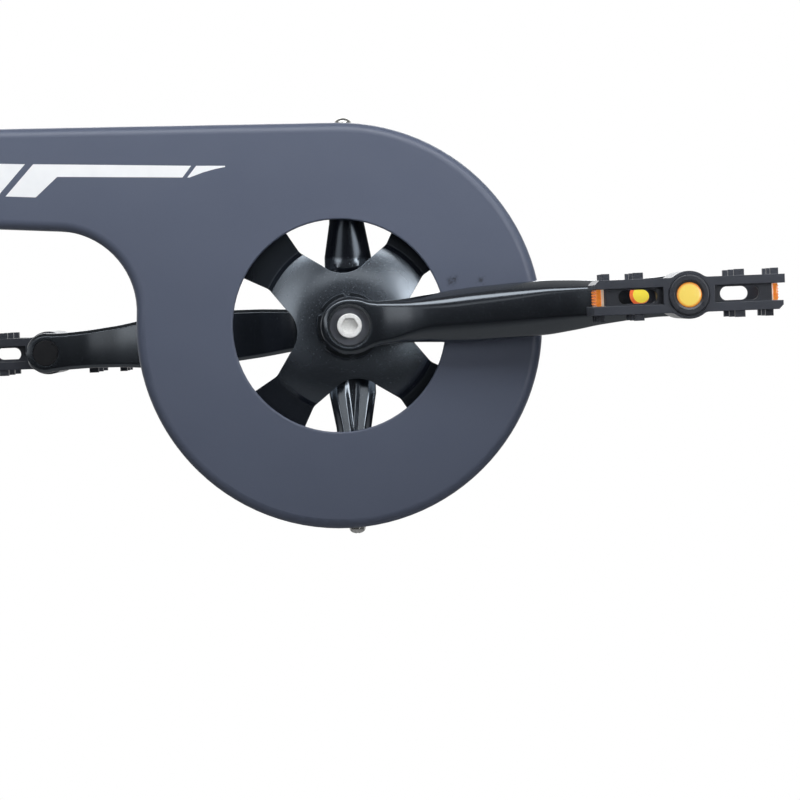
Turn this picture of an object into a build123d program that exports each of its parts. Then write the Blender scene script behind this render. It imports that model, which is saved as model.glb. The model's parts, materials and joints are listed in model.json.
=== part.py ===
"""Pedal crankset of an electric bicycle, with its chain guard, bottom bracket and pedals.

Frame: millimetres, +X to the front of the bicycle, +Y to its left, +Z up.
The origin is the middle of the bottom bracket, on the crank axis.
The chain runs on the right side. A place across the bicycle is written as "out",
the distance from the middle plane towards the right. Left pieces are mirrored.
"""

import os
from math import asin, atan2, cos, pi, radians, sin, sqrt, tan

from build123d import *

# Fits, and how far a cut runs past the face it starts from
RUNNING_GAP = 0.05
SEAT_GAP = 0.1
HOLE_GAP = 0.2
CUT_PAST = 1.0

# Nearer than this, two measures count as the same
SAME = 0.01

# Bottom bracket
SHELL_WIDTH = 68.0
THREAD_RADIUS = 17.4
THREAD_LENGTH = 21.0
SLEEVE_STEP = 0.8
SLEEVE_ROOM = 2.5
CUP_FLANGE_WIDTH = 3.1
CUP_FLANGE_THICK = 4.0
CUP_NOTCHES = 8
CUP_NOTCH_WIDTH = 4.0
CUP_NOTCH_DEPTH = 1.6
SPINDLE_RADIUS = 8.5

# Cranks
CRANK_LENGTH = 170.0
CRANK_ANGLE = 5.35
CUP_TO_BOSS = 5.0
BOSS_LENGTH = 31.0
BOSS_RADIUS = 15.0
BOSS_EDGE = 1.6
TAPER_LENGTH = 20.0
TAPER_ROOT = 14.0
TAPER_TIP = 12.6
EXTRACTOR_WALL = 4.4
EXTRACTOR_DEPTH = 8.6
COLLAR_WIDTH = 2.8
COLLAR_THICK = 2.6
COLLAR_NOTCHES = 6
COLLAR_NOTCH_RADIUS = 1.7
EYE_RADIUS = 11.0
EYE_THICK = 13.0
EYE_OFFSET = 17.0
ARM_CLEARANCE = 5.2
ARM_WIDE_END = 66.0
ARM_TAPER = 42.0
ARM_INTO_EYE = 4.0
ARM_BACK_EDGE = 1.6
ARM_SIDE = 0.42

# Crank bolts and washers
BOLT_RADIUS = 4.0
BOLT_HEAD_RADIUS = 6.45
BOLT_HEAD_HEIGHT = 6.0
BOLT_SHANK = 14.0
BOLT_HEX = 8.0
BOLT_HEX_DEPTH = 4.0
BOLT_HEAD_EDGE = 0.6
WASHER_ROOM = 0.4
WASHER_THICK = 1.6

# Chainwheel: half-inch chain
TEETH = 42
CHAIN_PITCH = 12.7
ROLLER_SEAT = 4.05
TOOTH_ABOVE_PITCH = 4.0
TOOTH_FLANK = 20.0
CUP_TO_CHAIN = 8.0
RING_THICK = 2.6
RING_WIDTH = 15.0
HUB_FLAT = 2.2
DOME_RADIUS = 44.5
DOME_DROP = 5.0
STEP_DROP = 2.6
STEP_WIDTH = 2.4
WINDOW_COUNT = 4
WINDOW_ROOT = 27.7
WINDOW_THROAT = (11.5, 32.5)
WINDOW_KNEE = (22.8, 40.5)
WINDOW_SPREAD = 29.3
WINDOW_CORNER = 7.0

# Chain guard
GUARD_ROOM = 17.0
GUARD_OFFSET = -5.5
GUARD_WINDOW = 55.5
GUARD_WALL = 2.5
GUARD_GAP = 11.2
GUARD_EDGE = 5.0
GUARD_RIM_GAP = 3.0
GUARD_WINDOW_EDGE = 1.0
TAIL_LENGTH = 320.0
TAIL_TOP_SLOPE = 1.1
TAIL_LOW_SLOPE = 2.0
TAIL_DEPTH = 52.9
TAIL_DEPTH_AT = 170.0
TAIL_CORNER = 16.0
THROAT_RADIUS = 42.0
CHAIN_ROOM = 24.0
LOWER_RUN_SLOPE = 9.3
UPPER_RUN_SLOPE = 2.0
STAY_BOSS_BACK = 255.0
STAY_BOSS_DROP = 11.5
STAY_BOSS_INSET = 2.0
STAY_BOSS_RADIUS = 4.6
STAY_HOLE_RADIUS = 2.1
STAY_HOLE_DEPTH = 14.0

# Guard bracket and its screws
BRACKET_THICK = 2.0
BRACKET_RING_WIDTH = 3.5
BRACKET_TILT = 2.1
BRACKET_BEVEL = 2.6
BRACKET_TAB_REACH = 16.0
BRACKET_TAB_WIDTH = 16.0
PAD_DEPTH = 4.5
SCREW_RADIUS = 2.5
SCREW_HEAD_RADIUS = 4.6
SCREW_HEAD_HEIGHT = 4.2
SCREW_HEAD_EDGE = 2.3
SCREW_SEAT_DEPTH = 0.8
SCREW_SEAT_ROOM = 0.6
SCREW_LENGTH = 12.0
NUT_RADIUS = 4.6
NUT_HEIGHT = 4.0

# Pedals
PEDAL_LENGTH = 95.0
PEDAL_WIDTH = 90.0
PEDAL_HEIGHT = 17.4
PEDAL_TILT = 2.2
PEDAL_GAP = 0.8
PLATE_THICK = 4.4
PLATE_SHIFT = 1.0
PLATE_CHAMFER = 2.2
BARREL_RADIUS = 11.9
BARREL_BLEND = 4.0
BARREL_HOUSING = 0.8
SIDE_RAIL = 8.0
MIDDLE_RAIL = 7.0
END_RAIL = 9.0
OPENING_CORNER = 2.0
WEB_INSET = 5.0
WEB_THICK = 3.0
SLOT_FROM_BARREL = 3.6
SLOT_LENGTH = 19.4
SLOT_HEIGHT = 7.0
STUD_LENGTH = 5.0
END_STUD_LENGTH = 3.9
STUD_WIDTH = 6.0
STUD_HEIGHT = 3.2
STUD_FROM_BARREL = 13.1
STUD_FROM_END = 4.0
STUD_FROM_CHAMFER = 3.8
REFLECTOR_DEPTH = 4.2
REFLECTOR_INSET = 0.8
REFLECTOR_END = 18.0
REFLECTOR_GAP = 0.3
AXLE_RADIUS = 5.5
AXLE_THREAD_RADIUS = 7.0
AXLE_HEX = 15.0
AXLE_HEX_LENGTH = 6.0
AXLE_END_INSET = 14.0
CAP_WALL = 1.8
CAP_HEIGHT = 1.4
CAP_EDGE = 0.8
CAP_SEAT_DEPTH = 6.0
CAP_DISH_RADIUS = 7.4
CAP_RECESS = 1.0
DISC_RADIUS = 6.2
DISC_THICK = 0.8

# Places and radii worked out from the sizes above
SHELL_FACE = SHELL_WIDTH / 2
CUP_SEAT = SHELL_FACE + BRACKET_THICK
CUP_FACE = CUP_SEAT + CUP_FLANGE_THICK
CUP_FLANGE_RADIUS = THREAD_RADIUS + CUP_FLANGE_WIDTH
BRACKET_RING_RADIUS = CUP_FLANGE_RADIUS + BRACKET_RING_WIDTH
CHAIN_LINE = CUP_FACE + CUP_TO_CHAIN
BOSS_INNER = CUP_FACE + CUP_TO_BOSS
BOSS_OUTER = BOSS_INNER + BOSS_LENGTH
EXTRACTOR_FLOOR = BOSS_OUTER - EXTRACTOR_DEPTH
EXTRACTOR_RADIUS = BOSS_RADIUS - EXTRACTOR_WALL
COLLAR_RADIUS = BOSS_RADIUS + COLLAR_WIDTH
HUB_FLAT_RADIUS = COLLAR_RADIUS + HUB_FLAT
SPINDLE_END = BOSS_INNER + TAPER_LENGTH
RING_FRONT = CHAIN_LINE + RING_THICK / 2
RING_BACK = CHAIN_LINE - RING_THICK / 2
HUB_FRONT = RING_FRONT + STEP_DROP + DOME_DROP
GUARD_INSIDE = RING_FRONT + GUARD_GAP
GUARD_FACE = GUARD_INSIDE + GUARD_WALL
ARM_BACK = GUARD_FACE + ARM_CLEARANCE
EYE_OUTER = BOSS_OUTER + EYE_OFFSET
EYE_INNER = EYE_OUTER - EYE_THICK
PEDAL_INNER = EYE_OUTER + AXLE_HEX_LENGTH + PEDAL_GAP
PEDAL_OUTER = PEDAL_INNER + PEDAL_WIDTH
PITCH_RADIUS = CHAIN_PITCH / (2 * sin(pi / TEETH))
TIP_RADIUS = PITCH_RADIUS + TOOTH_ABOVE_PITCH
RING_INNER_RADIUS = PITCH_RADIUS - RING_WIDTH
GUARD_RADIUS = TIP_RADIUS + GUARD_ROOM
GUARD_RIM_BACK = SHELL_FACE + GUARD_RIM_GAP
PAD_PLANE = GUARD_RADIUS - PAD_DEPTH
SCREW_SEAT = GUARD_RADIUS - SCREW_SEAT_DEPTH
CAP_RADIUS = BARREL_RADIUS - CAP_WALL
REFLECTOR_OUTER = PEDAL_LENGTH / 2 - PLATE_SHIFT - REFLECTOR_INSET
REFLECTOR_INNER = REFLECTOR_OUTER - REFLECTOR_DEPTH

# Side view: X stays X, the sketch's second axis is Z, and it faces right
SIDE_VIEW = Plane(origin=(0, 0, 0), x_dir=(1, 0, 0), z_dir=(0, -1, 0))


def across(sketch, start, stop):
    """A side-view sketch, extruded from one place across the bicycle to another."""
    return extrude(SIDE_VIEW.offset(start) * sketch, stop - start)


def rod(radius, start, stop):
    return across(Circle(radius), start, stop)


def ring(outer, inner, start, stop):
    return rod(outer, start, stop) - rod(inner, start, stop)


def turned(shape, angle):
    """The shape turned about the crank axis, anticlockwise as seen from the right."""
    return Rot(0, -angle, 0) * shape


def to_left(shape):
    return mirror(shape, about=Plane.XZ)


def square_taper(grow):
    """The spindle's tapered square end, wider by grow on each side."""
    faces = []
    for place, width in ((BOSS_INNER, TAPER_ROOT), (SPINDLE_END, TAPER_TIP)):
        faces.append(SIDE_VIEW.offset(place) * Rectangle(width + 2 * grow, width + 2 * grow))
    return loft(faces, ruled=True)


# Bottom bracket

def bb_sleeve():
    half = SHELL_FACE - THREAD_LENGTH
    return ring(THREAD_RADIUS - SLEEVE_STEP, SPINDLE_RADIUS + SLEEVE_ROOM, -half, half)


def bb_cup(seat):
    """A threaded cup whose flange starts at seat and whose thread fills the shell's end."""
    bore = SPINDLE_RADIUS + RUNNING_GAP
    start = SHELL_FACE - THREAD_LENGTH
    cup = rod(THREAD_RADIUS, start, seat) + rod(CUP_FLANGE_RADIUS, seat, seat + CUP_FLANGE_THICK)
    notch = across(Rectangle(2 * CUP_NOTCH_DEPTH, CUP_NOTCH_WIDTH), seat, seat + CUP_FLANGE_THICK)
    for i in range(CUP_NOTCHES):
        cup -= turned(Pos(CUP_FLANGE_RADIUS, 0, 0) * notch, 360 * i / CUP_NOTCHES)
    return cup - rod(bore, start, seat + CUP_FLANGE_THICK)


def bb_spindle():
    shaft = rod(SPINDLE_RADIUS, -BOSS_INNER, BOSS_INNER)
    limit = rod(SPINDLE_RADIUS, BOSS_INNER, SPINDLE_END)
    end = square_taper(0) & limit
    hole = rod(BOLT_RADIUS + SEAT_GAP, SPINDLE_END - BOLT_SHANK, SPINDLE_END)
    end -= hole
    shaft -= hole + to_left(hole)
    spindle = shaft + end + to_left(end)
    return turned(spindle, CRANK_ANGLE)


# Cranks

# distance along the arm, half width, back and front places, front face's reach below and above the middle
ARM_SECTIONS = (
    (4.0, 12.6, BOSS_OUTER - 18.0, BOSS_OUTER - 1.2, 9.4, 9.8),
    (30.0, 11.4, ARM_BACK - 4.0, ARM_BACK + 11.6, 6.8, 8.0),
    (47.0, 13.0, ARM_BACK, ARM_BACK + 13.6, 6.2, 8.6),
    (64.0, 14.1, ARM_BACK + 1.2, ARM_BACK + 15.0, 6.2, 9.1),
    (CRANK_LENGTH - ARM_WIDE_END, 14.2, EYE_INNER - 6.6, EYE_OUTER - 6.2, 6.2, 9.1),
    (CRANK_LENGTH - ARM_TAPER, 11.6, EYE_INNER - 2.0, EYE_OUTER - 2.4, 6.6, 8.0),
    (CRANK_LENGTH - ARM_INTO_EYE, 10.0, EYE_INNER + 0.6, EYE_OUTER - 0.4, 7.4, 7.4),
)


def arm_section(along, half_width, back, front, face_low, face_high):
    """Flat back, upright sides and two wide bevels, the lower one wider, up to the front face."""
    shoulder = back + ARM_SIDE * (front - back)
    # distance above the arm's middle line, and place across the bicycle
    outline = (
        (half_width - ARM_BACK_EDGE, back),
        (half_width, back + ARM_BACK_EDGE),
        (half_width, shoulder),
        (face_high, front),
        (-face_low, front),
        (-half_width, shoulder),
        (-half_width, back + ARM_BACK_EDGE),
        (-half_width + ARM_BACK_EDGE, back),
    )
    section = Plane(origin=(along, 0, 0), x_dir=(0, 0, 1), z_dir=(-1, 0, 0))
    return section * Polygon(*((above, -out) for above, out in outline), align=None)


def crank_arm(has_collar):
    """A right-hand crank arm that points along +X."""
    boss = rod(BOSS_RADIUS, BOSS_INNER, BOSS_OUTER)
    boss = fillet(boss.edges().group_by(Axis.Y)[0], BOSS_EDGE)
    eye = Pos(CRANK_LENGTH, 0, 0) * rod(EYE_RADIUS, EYE_INNER, EYE_OUTER)
    beam = loft([arm_section(*row) for row in ARM_SECTIONS], ruled=True)
    arm = boss + beam + eye
    if has_collar:
        seat = HUB_FRONT + SEAT_GAP
        collar = rod(COLLAR_RADIUS, seat, seat + COLLAR_THICK)
        notch = rod(COLLAR_NOTCH_RADIUS, seat, seat + COLLAR_THICK)
        for i in range(COLLAR_NOTCHES):
            angle = 360 * (i + 0.5) / COLLAR_NOTCHES
            collar -= turned(Pos(COLLAR_RADIUS, 0, 0) * notch, angle)
        arm += collar
    arm -= rod(EXTRACTOR_RADIUS, EXTRACTOR_FLOOR, BOSS_OUTER + CUT_PAST)
    arm -= square_taper(SEAT_GAP)
    arm -= rod(BOLT_HEAD_RADIUS, SPINDLE_END, EXTRACTOR_FLOOR)
    thread = rod(AXLE_THREAD_RADIUS + SEAT_GAP, EYE_INNER, EYE_OUTER)
    return arm - Pos(CRANK_LENGTH, 0, 0) * thread


def crank_bolt():
    seat = EXTRACTOR_FLOOR + WASHER_THICK
    head = rod(BOLT_HEAD_RADIUS, seat, seat + BOLT_HEAD_HEIGHT)
    head = fillet(head.edges().group_by(Axis.Y)[0], BOLT_HEAD_EDGE)
    socket = RegularPolygon(BOLT_HEX / 2, 6, major_radius=False)
    top = seat + BOLT_HEAD_HEIGHT
    head -= across(socket, top - BOLT_HEX_DEPTH, top)
    return head + rod(BOLT_RADIUS, SPINDLE_END - BOLT_SHANK, seat)


def crank_washer():
    top = EXTRACTOR_FLOOR + WASHER_THICK
    return ring(EXTRACTOR_RADIUS - WASHER_ROOM, BOLT_RADIUS + HOLE_GAP, EXTRACTOR_FLOOR, top)


# Chainwheel

def polar(radius, angle):
    return (radius * cos(angle), radius * sin(angle))


def tooth_outline():
    """The toothed edge: for each gap a roller seat, its two flanks and the next tooth's tip."""
    flank = radians(TOOTH_FLANK)
    seat_r = PITCH_RADIUS - ROLLER_SEAT * sin(flank)
    seat_t = ROLLER_SEAT * cos(flank)
    tip_t = seat_t + (TIP_RADIUS - seat_r) * tan(flank)
    # radius along the gap's middle line and distance to its side
    side = [(TIP_RADIUS, tip_t), (seat_r, seat_t), (PITCH_RADIUS - ROLLER_SEAT, 0.0)]
    step = 2 * pi / TEETH
    edges = []
    for i in range(TEETH):
        middle = i * step
        low = [polar(sqrt(r * r + t * t), middle - atan2(t, r)) for r, t in side]
        high = [polar(sqrt(r * r + t * t), middle + atan2(t, r)) for r, t in side]
        next_tip = polar(sqrt(TIP_RADIUS ** 2 + tip_t ** 2), middle + step - atan2(tip_t, TIP_RADIUS))
        edges += [
            Line(low[0], low[1]),
            ThreePointArc(low[1], low[2], high[1]),
            Line(high[1], high[0]),
            Line(high[0], next_tip),
        ]
    return make_face(Wire(edges))


def wheel_window():
    """One of the openings between the chainwheel's arms, above the axis."""
    throat_x, throat_z = WINDOW_THROAT
    knee_x, knee_z = WINDOW_KNEE
    flare_x, flare_z = polar(RING_INNER_RADIUS, radians(90 - WINDOW_SPREAD))
    outline = [
        ThreePointArc((-throat_x, throat_z), (0, WINDOW_ROOT), (throat_x, throat_z)),
        Line((throat_x, throat_z), (knee_x, knee_z)),
        Line((knee_x, knee_z), (flare_x, flare_z)),
        ThreePointArc((flare_x, flare_z), (0, RING_INNER_RADIUS), (-flare_x, flare_z)),
        Line((-flare_x, flare_z), (-knee_x, knee_z)),
        Line((-knee_x, knee_z), (-throat_x, throat_z)),
    ]
    face = make_face(Wire(outline))
    corners = [v for v in face.vertices() if v.Y > (throat_z + knee_z) / 2]
    return fillet(corners, WINDOW_CORNER)


def wheel_profile():
    """Half section from the bore to past the teeth: flat hub, dome, step and flat ring."""
    width = DOME_RADIUS - HUB_FLAT_RADIUS
    curve = (width ** 2 + DOME_DROP ** 2) / (2 * DOME_DROP)
    half_turn = asin(width / curve) / 2
    middle = (HUB_FLAT_RADIUS + curve * sin(half_turn), HUB_FRONT - curve * (1 - cos(half_turn)))
    bore = BOSS_RADIUS + SEAT_GAP
    rim = TIP_RADIUS + CUT_PAST
    # radius and place across the bicycle
    points = (
        (bore, HUB_FRONT),
        (HUB_FLAT_RADIUS, HUB_FRONT),
        middle,
        (DOME_RADIUS, HUB_FRONT - DOME_DROP),
        (DOME_RADIUS + STEP_WIDTH, RING_FRONT),
        (rim, RING_FRONT),
    )
    edges = []
    ends = []
    for inward in (0, RING_THICK):
        hub, flat, arc, dome, step, edge = [(r, inward - out) for r, out in points]
        edges += [Line(hub, flat), ThreePointArc(flat, arc, dome), Line(dome, step), Line(step, edge)]
        ends.append((hub, edge))
    edges += [Line(ends[0][0], ends[1][0]), Line(ends[0][1], ends[1][1])]
    return make_face(Wire.combine(edges)[0])


def chainwheel():
    wheel = revolve(wheel_profile(), Axis.Y)
    wheel &= across(tooth_outline(), RING_BACK, HUB_FRONT)
    window = across(wheel_window(), RING_BACK, HUB_FRONT)
    for i in range(WINDOW_COUNT):
        wheel -= turned(window, 360 * i / WINDOW_COUNT)
    return turned(wheel, CRANK_ANGLE)


# Chain guard

def tail_touch():
    """Where the tail's upper edge leaves the disc."""
    top = radians(TAIL_TOP_SLOPE)
    return (GUARD_OFFSET - GUARD_RADIUS * sin(top), GUARD_RADIUS * cos(top))


def tail_roof(back):
    """Height of the tail's upper edge at a distance behind the crank axis."""
    x, z = tail_touch()
    return z - (back + x) * tan(radians(TAIL_TOP_SLOPE))


def guard_outline():
    """Disc around the chainwheel and a tail over the chain's upper run."""
    low = tan(radians(TAIL_LOW_SLOPE))
    floor = tail_roof(TAIL_DEPTH_AT) - TAIL_DEPTH
    disc = Pos(GUARD_OFFSET, 0) * Circle(GUARD_RADIUS)
    touch = tail_touch()
    end_top = (-TAIL_LENGTH, tail_roof(TAIL_LENGTH))
    end_low = (-TAIL_LENGTH, floor + (TAIL_LENGTH - TAIL_DEPTH_AT) * low)
    root_low = (GUARD_OFFSET, floor - (TAIL_DEPTH_AT + GUARD_OFFSET) * low)
    tail = Polygon(touch, end_top, end_low, root_low, align=None)
    outline = disc + tail
    ends = [v for v in outline.vertices() if abs(v.X + TAIL_LENGTH) < SAME]
    outline = fillet(ends, TAIL_CORNER)
    throat = outline.vertices().sort_by_distance((GUARD_OFFSET - GUARD_RADIUS, root_low[1]))[0]
    return fillet(throat, THROAT_RADIUS)


def chain_run(slope, side):
    """Room for a straight chain run to the rear, over (side 1) or under (side -1) the chainwheel."""
    length = TAIL_LENGTH + 2 * GUARD_RADIUS
    room = Pos(-length / 2, 0) * Rectangle(length, CHAIN_ROOM)
    placed = Pos(0, side * PITCH_RADIUS) * room
    lane = across(placed, GUARD_RIM_BACK - CUT_PAST, GUARD_FACE - GUARD_EDGE)
    return turned(lane, side * slope)


def stay_boss_place():
    return Pos(-STAY_BOSS_BACK, 0, tail_roof(STAY_BOSS_BACK) - STAY_BOSS_DROP)


def bracket_frame(shape, flip):
    """A shape made along +Z, set along one of the bracket's two arms."""
    return turned(shape, BRACKET_TILT + (180 if flip else 0))


def screw_place():
    """Across the bicycle, where the guard's screws stand."""
    return SHELL_FACE + BRACKET_TAB_REACH / 2 + BRACKET_THICK


def upright_rod(radius, low, high):
    """A rod along +Z in the plane of the guard's screws."""
    return Pos(0, -screw_place(), low) * Cylinder(
        radius, high - low, align=(Align.CENTER, Align.CENTER, Align.MIN)
    )


def guard_cover():
    outline = guard_outline()
    outside = across(outline, GUARD_RIM_BACK, GUARD_FACE)
    outside = fillet(outside.edges().group_by(Axis.Y)[0], GUARD_EDGE)
    inside = across(offset(outline, -GUARD_WALL), GUARD_RIM_BACK, GUARD_INSIDE)
    inside = fillet(inside.edges().group_by(Axis.Y)[0], GUARD_EDGE - GUARD_WALL)
    cover = outside - inside
    cover -= Pos(GUARD_OFFSET, 0, 0) * rod(GUARD_WINDOW, GUARD_INSIDE - CUT_PAST, GUARD_FACE + CUT_PAST)
    rims = [
        edge
        for edge in cover.edges().filter_by(GeomType.CIRCLE)
        if abs(edge.radius - GUARD_WINDOW) < SAME and abs(edge.center().Y + GUARD_FACE) < SAME
    ]
    cover = fillet(rims, GUARD_WINDOW_EDGE)
    cover -= chain_run(LOWER_RUN_SLOPE, -1)
    cover -= chain_run(UPPER_RUN_SLOPE, 1) & Pos(-TAIL_LENGTH, -CHAIN_LINE, 0) * Box(
        2 * TAIL_CORNER, 4 * GUARD_FACE, 4 * GUARD_RADIUS
    )
    start = GUARD_RIM_BACK + STAY_BOSS_INSET
    cover += stay_boss_place() * rod(STAY_BOSS_RADIUS, start, GUARD_INSIDE)
    cover -= stay_boss_place() * rod(STAY_HOLE_RADIUS, start, start + STAY_HOLE_DEPTH)
    for flip in (False, True):
        depth = BRACKET_TAB_REACH
        block = Box(BRACKET_TAB_WIDTH, depth, 2 * PAD_DEPTH)
        block = Pos(0, -GUARD_RIM_BACK - depth / 2, GUARD_RADIUS) * block
        cover += bracket_frame(block, flip) & outside
        hole = upright_rod(SCREW_RADIUS + HOLE_GAP, PAD_PLANE - CUT_PAST, SCREW_SEAT)
        seat = upright_rod(SCREW_HEAD_RADIUS + SCREW_SEAT_ROOM, SCREW_SEAT, GUARD_RADIUS + CUT_PAST)
        cover -= bracket_frame(hole + seat, flip)
    return cover


# Guard bracket

# distance from the crank axis, half width, ridge height, groove depth, groove half width
BRACKET_SECTIONS = (
    (THREAD_RADIUS + 2.0, 12.4, 0.4, 0.2, 5.6),
    (32.0, 12.3, 4.6, 3.4, 5.6),
    (56.0, 9.2, 4.6, 1.6, 2.2),
    (PAD_PLANE - BRACKET_THICK / 2, 8.0, 4.6, 1.0, 1.2),
)


def bracket_section(distance, half_width, ridge, groove, groove_half):
    """A pressed strip: low edges, two ridges and a groove between them."""
    low = SHELL_FACE + BRACKET_THICK
    front = (
        (-half_width, low),
        (-half_width + BRACKET_BEVEL, low + ridge),
        (-groove_half, low + ridge),
        (0, low + ridge - groove),
        (groove_half, low + ridge),
        (half_width - BRACKET_BEVEL, low + ridge),
        (half_width, low),
    )
    back = tuple((x, out - BRACKET_THICK) for x, out in reversed(front))
    outline = Polygon(*((x, -out) for x, out in front + back), align=None)
    return Plane(origin=(0, 0, distance), x_dir=(1, 0, 0), z_dir=(0, 0, 1)) * outline


def bracket_arm():
    strip = loft([bracket_section(*row) for row in BRACKET_SECTIONS], ruled=True)
    reach = BRACKET_TAB_REACH
    tab = Pos(0, -SHELL_FACE - reach / 2 - BRACKET_THICK, PAD_PLANE - BRACKET_THICK / 2) * Box(
        BRACKET_TAB_WIDTH, reach, BRACKET_THICK
    )
    under = PAD_PLANE - BRACKET_THICK
    nut = Pos(0, -screw_place(), under - NUT_HEIGHT) * extrude(RegularPolygon(NUT_RADIUS, 6), NUT_HEIGHT)
    arm = strip + tab + nut
    return arm - upright_rod(SCREW_RADIUS + HOLE_GAP, under - NUT_HEIGHT - CUT_PAST, PAD_PLANE + CUT_PAST)


def guard_bracket():
    bracket = rod(BRACKET_RING_RADIUS, SHELL_FACE, CUP_SEAT)
    for flip in (False, True):
        bracket += bracket_frame(bracket_arm(), flip)
    clear = rod(CUP_FLANGE_RADIUS + HOLE_GAP, CUP_SEAT, CUP_FACE + CUT_PAST)
    return bracket - clear - rod(THREAD_RADIUS + HOLE_GAP, SHELL_FACE - CUT_PAST, CUP_SEAT)


def guard_screw(flip):
    head = upright_rod(SCREW_HEAD_RADIUS, SCREW_SEAT, SCREW_SEAT + SCREW_HEAD_HEIGHT)
    head = fillet(head.edges().group_by(Axis.Z)[-1], SCREW_HEAD_EDGE)
    shank = upright_rod(SCREW_RADIUS, SCREW_SEAT - SCREW_LENGTH, SCREW_SEAT)
    return bracket_frame(head + shank, flip)


# Pedals, made around their own axle and then set on the crank

def on_crank(shape):
    """A right pedal's piece, made around its axle, set at the end of the right crank."""
    axle = turned(Pos(CRANK_LENGTH, 0, 0), CRANK_ANGLE)
    return Pos(*axle.position) * turned(shape, PEDAL_TILT)


def pedal_profile():
    """The pedal's end view: two tread plates blended into the barrel and its square housing.

    The lower plate is the upper one turned half round.
    """
    half = PEDAL_LENGTH / 2
    outer = PEDAL_HEIGHT / 2
    inner = outer - PLATE_THICK
    plate = Polygon(
        (-half + PLATE_SHIFT, inner),
        (half, inner),
        (half, outer),
        (-half + PLATE_SHIFT + PLATE_CHAMFER, outer),
        (-half + PLATE_SHIFT, outer - PLATE_CHAMFER),
        align=None,
    )
    housing = Rectangle(2 * (BARREL_RADIUS + BARREL_HOUSING), PEDAL_HEIGHT - PLATE_THICK)
    profile = plate + Rot(0, 0, 180) * plate + Circle(BARREL_RADIUS) + housing
    joins = [v for v in profile.vertices() if abs(sqrt(v.X ** 2 + v.Y ** 2) - BARREL_RADIUS) < SAME]
    return fillet(joins, BARREL_BLEND)


def tread_openings():
    """The openings through both plates, two in front of the barrel and two behind it."""
    start = BARREL_RADIUS + BARREL_BLEND
    stop = PEDAL_LENGTH / 2 - END_RAIL
    width = (PEDAL_WIDTH - 2 * SIDE_RAIL - MIDDLE_RAIL) / 2
    middle = -(PEDAL_INNER + PEDAL_OUTER) / 2
    cutter = extrude(RectangleRounded(stop - start, width, OPENING_CORNER), PEDAL_HEIGHT / 2, both=True)
    places = []
    for x_side in (-1, 1):
        for y_side in (-1, 1):
            places.append(Pos(x_side * (start + stop) / 2, middle + y_side * (MIDDLE_RAIL + width) / 2, 0))
    return [place * cutter for place in places]


def tread_studs():
    """Studs along the plates' rails, on the upper face."""
    middle = -(PEDAL_INNER + PEDAL_OUTER) / 2
    row_reach = (PEDAL_WIDTH - SIDE_RAIL) / 2
    root = PEDAL_HEIGHT / 2 - PLATE_THICK / 2
    height = PLATE_THICK / 2 + STUD_HEIGHT
    half = PEDAL_LENGTH / 2
    barrel_end = BARREL_RADIUS + STUD_FROM_BARREL
    # place along the pedal, length, and the rows across it as shares of the reach
    columns = (
        (half - STUD_FROM_END, END_STUD_LENGTH, (-0.68, -0.06, 0.56)),
        (barrel_end, STUD_LENGTH, (-1, 0, 1)),
        (-barrel_end, STUD_LENGTH, (-1, 0, 1)),
        (-half + PLATE_SHIFT + PLATE_CHAMFER + STUD_FROM_CHAMFER, END_STUD_LENGTH, (-0.68, -0.06, 0.56)),
    )
    studs = []
    for along, length, rows in columns:
        stud = Box(length, STUD_WIDTH, height, align=(Align.CENTER, Align.CENTER, Align.MIN))
        for row in rows:
            studs.append(Pos(along, middle + row * row_reach, root) * stud)
    return studs


def pedal_body():
    body = across(pedal_profile(), PEDAL_INNER, PEDAL_OUTER)
    for cutter in tread_openings():
        body -= cutter
    for stud in tread_studs():
        body += stud + Rot(0, 180, 0) * stud
    wall = Rectangle(2 * (REFLECTOR_INNER - REFLECTOR_GAP), PEDAL_HEIGHT - PLATE_THICK)
    slot_centre = BARREL_RADIUS + SLOT_FROM_BARREL + SLOT_LENGTH / 2
    for x_side in (-1, 1):
        wall -= Pos(x_side * slot_centre, 0) * SlotOverall(SLOT_LENGTH, SLOT_HEIGHT)
    for start in (PEDAL_INNER + WEB_INSET, PEDAL_OUTER - WEB_INSET - WEB_THICK):
        body += across(wall, start, start + WEB_THICK)
    body -= rod(AXLE_RADIUS + RUNNING_GAP, PEDAL_INNER, PEDAL_OUTER - AXLE_END_INSET + PEDAL_GAP)
    return body - rod(CAP_RADIUS + SEAT_GAP, PEDAL_OUTER - CAP_SEAT_DEPTH, PEDAL_OUTER)


def pedal_axle():
    flats = RegularPolygon(AXLE_HEX / 2, 6, major_radius=False)
    hexagon = across(flats, EYE_OUTER, EYE_OUTER + AXLE_HEX_LENGTH)
    axle = rod(AXLE_THREAD_RADIUS, EYE_INNER, EYE_OUTER) + hexagon
    return axle + rod(AXLE_RADIUS, EYE_OUTER + AXLE_HEX_LENGTH, PEDAL_OUTER - AXLE_END_INSET)


def pedal_cap():
    """A plug with a shallow dish that narrows to the disc's seat."""
    top = PEDAL_OUTER + CAP_HEIGHT
    cap = rod(CAP_RADIUS, PEDAL_OUTER - CAP_SEAT_DEPTH, top)
    cap = fillet(cap.edges().group_by(Axis.Y)[0], CAP_EDGE)
    rims = [SIDE_VIEW.offset(top) * Circle(CAP_DISH_RADIUS)]
    rims.append(SIDE_VIEW.offset(top - CAP_RECESS) * Circle(DISC_RADIUS + SEAT_GAP))
    return cap - loft(rims, ruled=True) - rod(DISC_RADIUS + SEAT_GAP, disc_floor(), top)


def disc_floor():
    return PEDAL_OUTER + CAP_HEIGHT - CAP_RECESS - DISC_THICK


def pedal_disc():
    return rod(DISC_RADIUS, disc_floor(), disc_floor() + DISC_THICK)


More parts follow.
